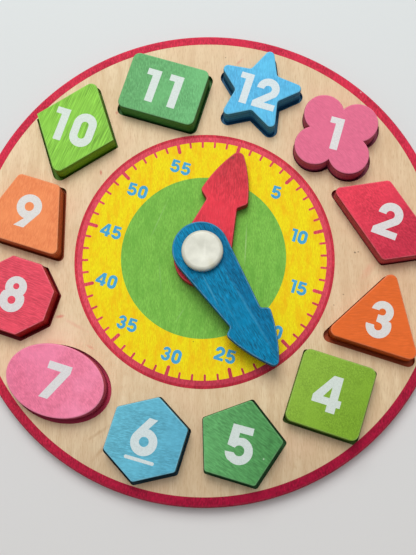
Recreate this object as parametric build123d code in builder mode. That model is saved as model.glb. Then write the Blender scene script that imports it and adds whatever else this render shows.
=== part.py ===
from build123d import *
import os
from collections import namedtuple
from cmath import rect
from math import acos, atan2, cos, pi, radians, sin, sqrt

# A round wooden number-block clock. Millimetres, +Z up, origin at the centre of the board's
# underside, 12 o'clock towards +Y. Two discs are glued together: the face board is cut right
# through by twelve openings, and the base board closes them into recesses. Each recess holds a
# loose number block. Two wooden hands turn on a plastic pivot cap in the middle.

# ---------------------------------------------------------------- driving dimensions
# Board. Its diameter is worked out below, from the ring of recesses that it holds.
base_thickness = 4.0
recess_depth = 5.0             # thickness of the face board
board_top_radius = 2.0         # rounding of the face board's rim
board_bottom_radius = 1.2      # rounding of the base board's rim

# Number blocks and their recesses
block_height = 16.0
block_top_radius = 1.0         # sanded edge round the top face
block_bottom_chamfer = 0.5
narrowest_web = 3.92           # least wood left between neighbouring recesses

star_point_radius = 31.1       # to the sharp points, before rounding
star_notch_radius = 14.8
star_point_rounding = 3.0
star_notch_rounding = 2.5
lobe_radius = 12.7
lobe_offset = 10.85            # each lobe's centre from the block's centre, along X and Y
parallelogram_long = 54.2
parallelogram_short = 35.8
parallelogram_angle = 65.5
parallelogram_rounding = 3.2
triangle_side = 58.2
triangle_rounding = 4.2
square_side = 44.1
square_rounding = 4.5
square_recess_rounding = 2.0
pentagon_radius = 25.9
pentagon_rounding = 2.0
hexagon_radius = 25.6
hexagon_rounding = 2.2
ellipse_width = 60.6
ellipse_height = 42.9
octagon_width = 45.7           # across the flats
octagon_rounding = 1.8
trapezoid_top = 27.4
trapezoid_bottom = 55.2
trapezoid_height = 43.3
trapezoid_rounding = 3.4
rhombus_width = 52.9
rhombus_height = 67.6
rhombus_rounding = 4.4
rhombus_recess_tip_rounding = 4.8
rhombus_recess_side_rounding = 1.0
rectangle_width = 50.8
rectangle_height = 38.7
rectangle_rounding = 4.4

# Hands
hand_thickness = 7.0
hand_top_radius = 1.2
hand_bottom_radius = 0.5
hub_radius = 17.3
hub_setback = 2.3              # hub centre behind the pivot
minute_tip_gap = 1.3           # between the minute hand's tip and the nearest recess
hour_shortfall = 10.9          # how much shorter the hour hand is
minute_tip_radius = 3.2
hour_tip_radius = 4.1
tip_half_angle = 33.5
head_length = 30.6             # from the tip back to the corner of the barbs
barb_half_width = 15.5
minute_neck_half_width = 10.8
minute_barb_sweep = 2.9        # the barbs' corner lies this far ahead of the neck
hour_neck_half_width = 10.0
hour_barb_sweep = 4.6
barb_rounding = 2.6
neck_rounding = 1.6
hour_pointing = 1.9            # degrees clockwise from 12
minute_pointing = 130.0

# Pivot
shank_radius = 4.0
shank_tip_chamfer = 0.6
hand_running_clearance = 0.08  # radial, hands and washers on the shank
shank_grip_clearance = 0.03    # radial, shank in the receiver
cap_radius = 12.5
cap_side_height = 2.9
cap_edge_radius = 2.3
cap_dish_radius = 7.5          # shallow dish in the middle of the cap
cap_dish_depth = 0.45
cap_float = 0.2                # play between the cap and the minute hand
washer_radius = 9.0
board_washer_thickness = 1.0
hand_washer_thickness = 1.0
receiver_flange_radius = 10.0
receiver_flange_thickness = 1.6
receiver_seat_clearance = 0.4  # radial, flange in its counterbore
receiver_sunk = 0.4            # flange below the board's underside
bush_radius = 6.0
bush_clearance = 0.15
receiver_end_gap = 0.5         # free space below the shank's end

# ---------------------------------------------------------------- levels along Z
face_top = base_thickness + recess_depth
hour_bottom = face_top + board_washer_thickness
hour_top = hour_bottom + hand_thickness
minute_bottom = hour_top + hand_washer_thickness
minute_top = minute_bottom + hand_thickness
cap_bottom = minute_top + cap_float
cap_top = cap_bottom + cap_side_height + cap_edge_radius
counterbore_depth = receiver_sunk + receiver_flange_thickness
shank_end = counterbore_depth + receiver_end_gap
bore_radius = shank_radius + hand_running_clearance
bush_hole_radius = bush_radius + bush_clearance
counterbore_radius = receiver_flange_radius + receiver_seat_clearance

os.makedirs("parts", exist_ok=True)


def finish(piece, name):
    """Label a finished piece and write it to its own STEP file."""
    piece.part.label = name
    export_step(piece.part, f"parts/{name}.step")


# ---------------------------------------------------------------- block outlines
# Each function draws one outline round the origin, grown by a gap on every side. The block uses
# no gap, and its recess uses its own.
def polygon_outline(points, gap, rounding):
    """A straight-sided outline with its corners rounded."""
    with BuildSketch() as outline:
        with BuildLine():
            Polyline(points, close=True)
        make_face()
        if gap:
            offset(amount=gap, kind=Kind.INTERSECTION)
        fillet(outline.vertices(), rounding)
    return outline.sketch


def regular_points(count, radius, first_angle):
    """Corners of a regular polygon on a circle."""
    turns = [radians(first_angle + i * 360 / count) for i in range(count)]
    return [(radius * cos(turn), radius * sin(turn)) for turn in turns]


def star_outline(gap):
    points = regular_points(5, star_point_radius, 90)
    notches = regular_points(5, star_notch_radius, 90 + 36)
    corners = [corner for pair in zip(points, notches) for corner in pair]
    with BuildSketch() as outline:
        with BuildLine():
            Polyline(corners, close=True)
        make_face()
        halfway = (star_point_radius + star_notch_radius) / 2
        tips = outline.vertices().filter_by(lambda corner: Vector(corner).length > halfway)
        fillet(tips, star_point_rounding)
        inner = outline.vertices().sort_by_distance((0, 0, 0))[0:5]
        fillet(inner, star_notch_rounding)
        if gap:
            offset(amount=gap)
    return outline.sketch


def quatrefoil_outline(gap):
    with BuildSketch() as outline:
        with GridLocations(2 * lobe_offset, 2 * lobe_offset, 2, 2):
            Circle(lobe_radius + gap)
        Rectangle(2 * lobe_offset, 2 * lobe_offset)
    return outline.sketch


def parallelogram_outline(gap):
    shift = parallelogram_short * cos(radians(parallelogram_angle))
    rise = parallelogram_short * sin(radians(parallelogram_angle))
    left, right = -(parallelogram_long + shift) / 2, (parallelogram_long + shift) / 2
    points = [(left, -rise / 2), (right - shift, -rise / 2), (right, rise / 2),
              (left + shift, rise / 2)]
    return polygon_outline(points, gap, parallelogram_rounding)


def triangle_outline(gap):
    height = triangle_side * sqrt(3) / 2
    points = [(-triangle_side / 2, -height / 2), (triangle_side / 2, -height / 2), (0, height / 2)]
    return polygon_outline(points, gap, triangle_rounding)


def square_outline(gap):
    half = square_side / 2
    points = [(-half, -half), (half, -half), (half, half), (-half, half)]
    return polygon_outline(points, gap, square_recess_rounding if gap else square_rounding)


def pentagon_outline(gap):
    return polygon_outline(regular_points(5, pentagon_radius, 90), gap, pentagon_rounding)


def hexagon_outline(gap):
    return polygon_outline(regular_points(6, hexagon_radius, 90), gap, hexagon_rounding)


def ellipse_outline(gap):
    with BuildSketch() as outline:
        Ellipse(ellipse_width / 2 + gap, ellipse_height / 2 + gap)
    return outline.sketch


def octagon_outline(gap):
    corner_radius = octagon_width / 2 / cos(radians(22.5))
    return polygon_outline(regular_points(8, corner_radius, 22.5), gap, octagon_rounding)


def trapezoid_outline(gap):
    half = trapezoid_height / 2
    points = [(-trapezoid_bottom / 2, -half), (trapezoid_bottom / 2, -half),
              (trapezoid_top / 2, half), (-trapezoid_top / 2, half)]
    return polygon_outline(points, gap, trapezoid_rounding)


def rhombus_outline(gap):
    points = [(0, -rhombus_height / 2), (rhombus_width / 2, 0), (0, rhombus_height / 2),
              (-rhombus_width / 2, 0)]
    with BuildSketch() as outline:
        with BuildLine():
            Polyline(points, close=True)
        make_face()
        if gap:
            offset(amount=gap, kind=Kind.INTERSECTION)
        corners = outline.vertices()
        tips = corners.filter_by(lambda corner: abs(corner.X) < abs(corner.Y))
        sides = corners.filter_by(lambda corner: abs(corner.X) > abs(corner.Y))
        fillet(tips, rhombus_recess_tip_rounding if gap else rhombus_rounding)
        fillet(sides, rhombus_recess_side_rounding if gap else rhombus_rounding)
    return outline.sketch


def rectangle_outline(gap):
    x, y = rectangle_width / 2, rectangle_height / 2
    return polygon_outline([(-x, -y), (x, -y), (x, y), (-x, y)], gap, rectangle_rounding)


# ---------------------------------------------------------------- where the blocks stand
# gap: clearance between the block and its recess, each side
# land: wood left between the recess and the board's edge, at its narrowest
# swing: degrees clockwise from the hour's own line
# turn: degrees that the outline is turned, counter-clockwise
# slide: how far the block has slid in its recess, as shares of its gap
BlockPlace = namedtuple("BlockPlace", "name outline gap land swing turn slide")
block_places = {
    12: BlockPlace("star", star_outline, 1.85, 9.65, 0.81, -0.9, (-0.06, 0.53)),
    1: BlockPlace("quatrefoil", quatrefoil_outline, 1.2, 8.1, 0.55, 0.0, (-0.74, 0.03)),
    2: BlockPlace("parallelogram", parallelogram_outline, 1.4, 5.0, 2.1, -40.2, (-0.5, -0.55)),
    3: BlockPlace("triangle", triangle_outline, 1.33, 7.56, 0.86, -0.8, (0.2, 1.18)),
    4: BlockPlace("square", square_outline, 0.8, 5.17, 1.2, -0.7, (-0.85, 0.66)),
    5: BlockPlace("pentagon", pentagon_outline, 1.4, 7.58, 1.61, 1.0, (-0.58, 0.25)),
    6: BlockPlace("hexagon", hexagon_outline, 1.4, 6.8, -0.6, 0.0, (0.1, 0.65)),
    7: BlockPlace("ellipse", ellipse_outline, 1.7, 7.54, 0.88, 0.0, (-0.76, 0.35)),
    8: BlockPlace("octagon", octagon_outline, 1.4, 6.9, 0.1, -0.9, (-0.5, 0.55)),
    9: BlockPlace("trapezoid", trapezoid_outline, 1.4, 7.2, -2.8, -0.5, (-0.3, 0.0)),
    10: BlockPlace("rhombus", rhombus_outline, 1.75, 6.57, -1.93, -3.0, (0.33, 0.19)),
    11: BlockPlace("rectangle", rectangle_outline, 1.7, 7.65, -0.5, 0.0, (-0.04, -0.13)),
}


def outline_points(outline):
    """Points along an outline, as complex numbers x + yj."""
    points = [edge @ (i / 24) for edge in outline.edges() for i in range(24)]
    return [complex(point.X, point.Y) for point in points]


recess_outlines = {hour: place.outline(place.gap).rotate(Axis.Z, place.turn)
                   for hour, place in block_places.items()}
recess_points = {hour: outline_points(outline) for hour, outline in recess_outlines.items()}


def seat_centre(hour, radius):
    """A recess stands as far out along its own line as its land to the board's edge allows."""
    place = block_places[hour]
    outward = rect(1, radians(90 - 30 * hour - place.swing))
    reach = radius - place.land
    turned = [point / outward for point in recess_points[hour]]
    return outward * min(sqrt(reach**2 - point.imag**2) - point.real for point in turned)


def least_web(radius):
    """The narrowest wood between neighbouring recesses on a board of this radius."""
    rims = {hour: [point + seat_centre(hour, radius) for point in recess_points[hour]]
            for hour in block_places}
    return min(abs(here - there) for hour in rims for here in rims[hour]
               for there in rims[hour % 12 + 1])


# The board is as small as the narrowest web allows. Its first radius comes from the recesses laid
# end to end. Neighbours stand 30 degrees apart, so a web grows by 2 sin 15 of each step outwards.
spans = [outline.bounding_box().size for outline in recess_outlines.values()]
board_radius = sum(span.X for span in spans) / (2 * pi) + max(span.Y for span in spans) / 2
for _ in range(8):
    board_radius += (narrowest_web - least_web(board_radius)) / (2 * sin(radians(15)))

seats = {hour: seat_centre(hour, board_radius) for hour in block_places}
recesses = [outline.moved(Location((seats[hour].real, seats[hour].imag, 0)))
            for hour, outline in recess_outlines.items()]

# The hands sweep the free circle inside the ring of recesses.
free_radius = min(abs(point + seats[hour]) for hour in seats for point in recess_points[hour])
minute_length = free_radius - minute_tip_gap
hour_length = minute_length - hour_shortfall

# ---------------------------------------------------------------- boards
with BuildPart() as base_board:
    with BuildSketch():
        Circle(board_radius)
        Circle(bush_hole_radius, mode=Mode.SUBTRACT)
    extrude(amount=base_thickness)
    with BuildSketch():
        Circle(counterbore_radius)
    extrude(amount=counterbore_depth, mode=Mode.SUBTRACT)
    lower_edges = base_board.edges().filter_by(GeomType.CIRCLE).group_by(Axis.Z)[0]
    fillet(lower_edges.sort_by(SortBy.RADIUS)[-1], board_bottom_radius)
finish(base_board, "base_board")

with BuildPart() as face_board:
    with BuildSketch(Plane.XY.offset(base_thickness)):
        Circle(board_radius)
        Circle(bush_hole_radius, mode=Mode.SUBTRACT)
        add(recesses, mode=Mode.SUBTRACT)
    extrude(amount=recess_depth)
    upper_edges = face_board.edges().filter_by(GeomType.CIRCLE).group_by(Axis.Z)[-1]
    fillet(upper_edges.sort_by(SortBy.RADIUS)[-1], board_top_radius)
finish(face_board, "face_board")

# ---------------------------------------------------------------- number blocks
for hour, place in block_places.items():
    centre = seats[hour] + place.gap * complex(*place.slide)
    stand = Location((centre.real, centre.imag, 0), (0, 0, place.turn))
    with BuildPart() as block:
        with BuildSketch(Plane.XY.offset(base_thickness)):
            add(place.outline(0).locate(stand))
        extrude(amount=block_height)
        fillet(block.faces().sort_by(Axis.Z)[-1].edges(), block_top_radius)
        chamfer(block.faces().sort_by(Axis.Z)[0].edges(), block_bottom_chamfer)
    finish(block, f"block_{hour:02d}_{place.name}")


# ---------------------------------------------------------------- hands
def corner_pair(outline, spot):
    """The corner at a spot, and its mirror image across the hand."""
    right = outline.vertices().sort_by_distance(spot)[0]
    left = outline.vertices().sort_by_distance((-spot.X, spot.Y))[0]
    return [left, right]


def hand_outline(length, tip_radius, neck_half_width, barb_sweep):
    """A hub circle, tapered shank and barbed arrow head, pointing along +Y from the pivot."""
    hub = Vector(0, -hub_setback)
    barb = Vector(barb_half_width, length - head_length)
    neck = Vector(neck_half_width, barb.Y - barb_sweep)
    to_neck = neck - hub
    tangent_turn = atan2(to_neck.Y, to_neck.X) - acos(hub_radius / to_neck.length)
    shank_start = hub + Vector(cos(tangent_turn), sin(tangent_turn)) * hub_radius
    hub_side_turn = (tangent_turn - radians(90)) / 2
    hub_side = hub + Vector(cos(hub_side_turn), sin(hub_side_turn)) * hub_radius
    tip_centre = Vector(0, length - tip_radius)
    flank_turn = radians(tip_half_angle)
    flank_end = tip_centre + Vector(cos(flank_turn), sin(flank_turn)) * tip_radius
    shoulder_turn = (flank_turn + radians(90)) / 2
    shoulder = tip_centre + Vector(cos(shoulder_turn), sin(shoulder_turn)) * tip_radius
    with BuildSketch() as outline:
        with BuildLine():
            ThreePointArc(hub - Vector(0, hub_radius), hub_side, shank_start)
            Polyline(shank_start, neck, barb)
            TangentArc(flank_end, barb, tangent=(sin(flank_turn), -cos(flank_turn)))
            ThreePointArc(flank_end, shoulder, (0, length))
            mirror(about=Plane.YZ)
        make_face()
        fillet(corner_pair(outline, neck), neck_rounding)
        fillet(corner_pair(outline, barb), barb_rounding)
        Circle(bore_radius, mode=Mode.SUBTRACT)
    return outline.sketch


HandPlace = namedtuple("HandPlace", "name bottom pointing outline")
hand_places = [
    HandPlace("hour_hand", hour_bottom, hour_pointing,
              hand_outline(hour_length, hour_tip_radius, hour_neck_half_width,
                           hour_barb_sweep)),
    HandPlace("minute_hand", minute_bottom, minute_pointing,
              hand_outline(minute_length, minute_tip_radius, minute_neck_half_width,
                           minute_barb_sweep)),
]
for place in hand_places:
    with BuildPart() as hand:
        with BuildSketch(Plane.XY.offset(place.bottom)):
            add(place.outline.locate(Location((0, 0, 0), (0, 0, -place.pointing))))
        extrude(amount=hand_thickness)
        fillet(hand.faces().sort_by(Axis.Z)[-1].outer_wire().edges(), hand_top_radius)
        fillet(hand.faces().sort_by(Axis.Z)[0].outer_wire().edges(), hand_bottom_radius)
    finish(hand, place.name)

# ---------------------------------------------------------------- washers
washer_places = [("board_washer", face_top, board_washer_thickness),
                 ("hand_washer", hour_top, hand_washer_thickness)]
for name, bottom, thickness in washer_places:
    with BuildPart() as washer:
        with BuildSketch(Plane.XY.offset(bottom)):
            Circle(washer_radius)
            Circle(bore_radius, mode=Mode.SUBTRACT)
        extrude(amount=thickness)
    finish(washer, name)

# ---------------------------------------------------------------- pivot cap and receiver
with BuildPart() as pivot_cap:
    with BuildSketch(Plane.XZ):
        with BuildLine():
            Polyline((cap_dish_radius, cap_top), (cap_radius - cap_edge_radius, cap_top))
            RadiusArc((cap_radius - cap_edge_radius, cap_top),
                      (cap_radius, cap_top - cap_edge_radius), cap_edge_radius)
            Polyline((cap_radius, cap_top - cap_edge_radius), (cap_radius, cap_bottom),
                     (shank_radius, cap_bottom), (shank_radius, shank_end), (0, shank_end),
                     (0, cap_top - cap_dish_depth))
            TangentArc((0, cap_top - cap_dish_depth), (cap_dish_radius, cap_top), tangent=(1, 0))
        make_face()
    revolve(axis=Axis.Z)
    shank_tip = pivot_cap.edges().filter_by(GeomType.CIRCLE).sort_by(Axis.Z)[0]
    chamfer(shank_tip, shank_tip_chamfer)
finish(pivot_cap, "pivot_cap")

with BuildPart() as pivot_receiver:
    with BuildSketch(Plane.XY.offset(receiver_sunk)):
        Circle(receiver_flange_radius)
    extrude(amount=receiver_flange_thickness)
    with BuildSketch(Plane.XY.offset(counterbore_depth)):
        Circle(bush_radius)
        Circle(shank_radius + shank_grip_clearance, mode=Mode.SUBTRACT)
    extrude(amount=face_top - counterbore_depth)
finish(pivot_receiver, "pivot_receiver")

for hour, seat in seats.items():
    print(f"recess {hour:2d} centre {seat.real:8.2f} {seat.imag:8.2f}")
print(f"board radius {board_radius:.3f}, narrowest web {least_web(board_radius):.3f}")
print(f"free radius {free_radius:.2f}, minute hand {minute_length:.2f}, hour hand {hour_length:.2f}")
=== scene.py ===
# %% [markdown]
# A wooden teaching clock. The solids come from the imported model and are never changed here. This
# file gives them paint, print, plastic and wood, and adds what is too thin for the solids: the
# printed dial, the painted rim and the numerals. Lengths are in metres, +Z is up, and +Y points
# to 12 o'clock.

# %% Load the frame
from math import atan2, cos, pi, radians, sin
import bmesh
import bpy
from mathutils import Matrix, Vector


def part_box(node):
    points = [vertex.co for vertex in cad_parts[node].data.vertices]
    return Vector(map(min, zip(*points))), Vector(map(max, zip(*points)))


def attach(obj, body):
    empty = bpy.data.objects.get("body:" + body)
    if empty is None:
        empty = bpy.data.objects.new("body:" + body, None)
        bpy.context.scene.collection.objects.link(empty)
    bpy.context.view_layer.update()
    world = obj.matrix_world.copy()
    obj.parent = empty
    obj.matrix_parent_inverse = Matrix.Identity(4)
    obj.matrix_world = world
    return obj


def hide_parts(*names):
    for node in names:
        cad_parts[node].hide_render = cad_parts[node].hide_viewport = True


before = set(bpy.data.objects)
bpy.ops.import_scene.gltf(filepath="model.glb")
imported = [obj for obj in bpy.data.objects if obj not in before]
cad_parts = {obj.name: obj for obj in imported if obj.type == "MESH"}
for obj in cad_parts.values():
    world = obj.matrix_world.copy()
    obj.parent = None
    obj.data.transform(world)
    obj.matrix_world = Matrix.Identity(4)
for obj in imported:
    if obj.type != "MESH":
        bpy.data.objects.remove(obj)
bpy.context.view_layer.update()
MM = 0.001

# %% [markdown]
# The camera looks down on the clock from a little below the 6, and is rolled so that 12 o'clock
# leans to the right. A lens is easier to judge by its angle of view: here the taller side of the
# frame takes in about 38 degrees, as a short portrait lens does.

# %% Camera
CAMERA_PLACE = Vector((55.3, -100.4, 493.1)) * MM
CAMERA_TILT = (11.645, 2.368, 17.446)
LENS_MM = 51.9
SENSOR_MM = 36.0

scene = bpy.context.scene
scene.view_settings.view_transform = "Standard"
camera_data = bpy.data.cameras.new("camera")
camera_data.sensor_fit = "VERTICAL"
camera_data.sensor_height = SENSOR_MM
camera_data.lens = LENS_MM
camera = bpy.data.objects.new("camera", camera_data)
camera.location = CAMERA_PLACE
camera.rotation_euler = [radians(turn) for turn in CAMERA_TILT]
scene.collection.objects.link(camera)
scene.camera = camera
print("camera", tuple(round(value, 3) for value in camera.location))

# %% [markdown]
# Every size below is read from the frame's boxes, so that the print stays where the solids are.
# The same numbers could be typed in again, but then a change to a solid would leave the print
# hanging in the air.

# %% Levels and radii
BOARD_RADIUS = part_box("face_board")[1].x
FACE_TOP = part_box("face_board")[1].z
BOARD_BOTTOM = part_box("base_board")[0].z
RECESS_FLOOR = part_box("base_board")[1].z
BLOCK_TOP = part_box("block_04_square")[1].z
WASHER_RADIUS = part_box("board_washer")[1].x
print("board radius", round(BOARD_RADIUS, 4), "block top", round(BLOCK_TOP, 4))
print("face", round(FACE_TOP, 4), "recess floor", round(RECESS_FLOOR, 4))


# %% [markdown]
# A few helpers carry every material. A colour is written as the hex value that a paint card gives,
# and Blender's shaders want it linear. A node is added with its settings and its inputs in one
# call: an input takes either a number or another node's output. The same trees could be wired by
# hand in the shader editor, but here every pattern keeps a size in real millimetres.

# %% Colour and node helpers
def linear(hex_code, factor=1.0):
    """An sRGB hex colour as linear RGBA, made lighter or darker by a factor."""
    channels = [int(hex_code[i:i + 2], 16) / 255 for i in (1, 3, 5)]
    values = [c / 12.92 if c <= 0.04045 else ((c + 0.055) / 1.055) ** 2.4 for c in channels]
    return tuple(min(1.0, value * factor) for value in values) + (1.0,)


def between(first, second, share):
    """A colour part of the way from the first one to the second."""
    return tuple(a + (b - a) * share for a, b in zip(first, second))


def add_node(tree, kind, inputs=None, **settings):
    """Adds a node, sets its settings, then fills or links its inputs."""
    node = tree.nodes.new(kind)
    for name, value in settings.items():
        setattr(node, name, value)
    for socket, value in (inputs or {}).items():
        if isinstance(value, bpy.types.NodeSocket):
            tree.links.new(value, node.inputs[socket])
        else:
            node.inputs[socket].default_value = value
    return node


def new_material(name):
    """An empty material, with its node tree and its Principled shader."""
    material = bpy.data.materials.new(name)
    material.use_nodes = True
    return material, material.node_tree, material.node_tree.nodes["Principled BSDF"]


def per_metre(millimetres):
    """The scale that gives a noise texture features of this size."""
    return 1 / (millimetres * MM)


print("mid grey in linear light", round(linear("#808080")[0], 3))

# %% [markdown]
# Wood fibres are long and thin, and noise is round. Turning and squeezing the coordinates before
# they reach the noise draws it out along the grain. One tone is then laid over another where such
# a pattern is strong: a Map Range sets how much, and a Mix lays it on. A Mix keeps its factor at
# socket 0 and its two colours at sockets 6 and 7.

# %% Fibres, and one tone over another
GRAIN = 107.0


def fibres(tree, coords, width_mm, stretch, detail=3.0, roughness=0.6, direction=GRAIN):
    """Noise of a real width in millimetres, drawn out along a direction in degrees."""
    turned = add_node(tree, "ShaderNodeMapping", {
        "Vector": coords, "Rotation": (0, 0, radians(direction)),
        "Scale": (stretch, 1, 1)}, vector_type="TEXTURE").outputs[0]
    drawn = add_node(tree, "ShaderNodeTexNoise", {
        "Vector": turned, "Scale": per_metre(width_mm), "Detail": detail, "Roughness": roughness})
    return drawn.outputs["Fac"]


def laid_over(tree, tone, colour, pattern, low, high, share=1.0):
    """Lays a colour over a tone where a pattern rises from low to high, up to a share of it."""
    cover = add_node(tree, "ShaderNodeMapRange", {
        "Value": pattern, "From Min": low, "From Max": high, "To Max": share}).outputs["Result"]
    mixed = add_node(tree, "ShaderNodeMix", {0: cover, 6: tone, 7: colour}, data_type="RGBA")
    return mixed.outputs[2]


print("grain direction in degrees", GRAIN)

# %% [markdown]
# No handmade surface has one even tone. Two more helpers break a colour up by place, in real
# millimetres: one lays small soft smudges over it, and one lets it run slowly into another tone.
# A smudge is a stretched round spot whose edge is torn by noise. A slow change multiplies the
# colour by the ratio of its two tones, so the streaks below it still show. A few of the spots and
# slow changes are painted light and shade, and are named so where they are used.

# %% Smudges, painted light and shade, and slow changes of tone
TORN_EDGE_MM = 1.2


def with_marks(tree, coords, tone, marks):
    """Lays soft spots over a colour, each with an edge broken up by noise: smudges, and in a few
    places painted light and shade.
    """
    torn = add_node(tree, "ShaderNodeTexNoise", {
        "Vector": coords, "Scale": per_metre(TORN_EDGE_MM), "Detail": 2.0}).outputs["Fac"]
    for mark in marks:
        x, y = mark["at"]
        spot = add_node(tree, "ShaderNodeMapping", {
            "Vector": coords, "Location": (x * MM, y * MM, FACE_TOP),
            "Rotation": (0, 0, radians(mark["turn"])),
            "Scale": (mark["size"][0] * MM, mark["size"][1] * MM, 1)}, vector_type="TEXTURE")
        far = add_node(tree, "ShaderNodeVectorMath", {0: spot.outputs[0]}, operation="LENGTH")
        broken = add_node(tree, "ShaderNodeMath", {0: far.outputs["Value"], 1: torn},
                          operation="ADD").outputs[0]
        tone = laid_over(tree, tone, linear(mark["tint"]), broken, 1.6, 0.7, mark["strength"])
    return tone


def faded(tree, coords, tone, first, last, direction, middle, reach):
    """Lets a tone of the first colour run into the last one along a direction in degrees, from a
    reach before the middle to a reach after it, in millimetres."""
    along = add_node(tree, "ShaderNodeMapping", {
        "Vector": coords, "Location": (middle[0] * MM, middle[1] * MM, 0),
        "Rotation": (0, 0, radians(direction))}, vector_type="TEXTURE").outputs[0]
    distance = add_node(tree, "ShaderNodeSeparateXYZ", {0: along}).outputs[0]
    share = add_node(tree, "ShaderNodeMapRange", {
        "Value": distance, "From Min": -reach * MM, "From Max": reach * MM}).outputs["Result"]
    ratio = tuple(b / max(a, 0.001) for a, b in zip(linear(first), linear(last)))
    mixed = add_node(tree, "ShaderNodeMix", {0: share, 6: tone, 7: ratio}, data_type="RGBA",
                     blend_type="MULTIPLY")
    return mixed.outputs[2]


print("smudges have edges torn by", TORN_EDGE_MM, "mm")

# %% [markdown]
# The blocks and hands are sawn from plywood and sanded. Their sawn sides are given a much darker
# tone than their tops, which is painted shade, because an upright side gets less light than a top.
# The layers of the plywood show there as lines that are darker still, because the glue between
# two layers takes the paint in another way. Noise that is drawn out sideways, sixty times as wide
# as it is tall, gives such lines without modelling any layer.

# %% Sawn side, in painted shade
PLY_MM = 1.7
PLY_STRETCH = 60


def sawn_side(tree, place, side, fibre):
    """A sawn plywood side: darker than the top as painted shade, crossed by darker ply lines."""
    layers = add_node(tree, "ShaderNodeMapping", {
        "Vector": place, "Scale": (PLY_STRETCH, PLY_STRETCH, 1)}, vector_type="TEXTURE")
    plies = add_node(tree, "ShaderNodeTexNoise", {
        "Vector": layers.outputs[0], "Scale": per_metre(PLY_MM), "Detail": 1.0}).outputs["Fac"]
    tone = laid_over(tree, linear(side, 0.85), linear(side, 1.35), fibre, 0.35, 0.65)
    return laid_over(tree, tone, linear(side, 0.4), plies, 0.5, 0.6, 0.6)


print("plies", PLY_MM, "mm apart")

# %% [markdown]
# Fingers rub the paint pale along the upper edge of a block, and the rounded edge catches the
# light, so the pale line drawn there is partly wear and partly painted highlight. The edge is where
# the surface begins to turn down, so the object's own normal finds it: it rises from 0 on a side
# to 1 on the top. It turns with the piece, so the pale line stays put when a hand moves. Noise
# breaks the line up, because no edge wears evenly.

# %% Rubbed edge and painted highlight
EDGE_BEGINS = (0.45, 0.75)
EDGE_ENDS = (0.99, 0.93)


def rubbed_edge(tree, up, patches, wear_and_highlight):
    """How pale the edge is drawn: up to wear_and_highlight along the upper edge, and in patches.
    The pale edge is partly wear and partly painted highlight.
    """
    worn_and_lit_share = add_node(tree, "ShaderNodeMapRange", {
        "Value": patches, "From Min": 0.35, "From Max": 0.6, "To Min": 0.2 * wear_and_highlight,
        "To Max": wear_and_highlight}).outputs["Result"]
    for low, high in (EDGE_BEGINS, EDGE_ENDS):
        turning = add_node(tree, "ShaderNodeMapRange", {
            "Value": up, "From Min": low, "From Max": high}).outputs["Result"]
        worn_and_lit_share = add_node(tree, "ShaderNodeMath", {0: worn_and_lit_share, 1: turning},
                          operation="MULTIPLY").outputs[0]
    return worn_and_lit_share


print("edge from", EDGE_BEGINS[0], "to", EDGE_ENDS[0], "of upright")

# %% [markdown]
# The paint is water-based, sprayed or dipped, and satin when dry. On sanded wood it isn't even: it
# is a touch darker where it sinks into the fibres, it is thicker in some places than others, and
# it takes a soft shine. A picture of painted wood could be wrapped round each piece, but noise in
# real millimetres fits every shape. The fibres are drawn about 1 mm wide, which is coarser than
# real ones, because finer ones wouldn't show at this distance.

# %% Painted wood
MOTTLE_MM = 4.0
BLOTCH_MM = 20.0
PAINT_GLOSS = 0.12  # satin: a broad, weak shine
PAINT_IOR = 1.45


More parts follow.
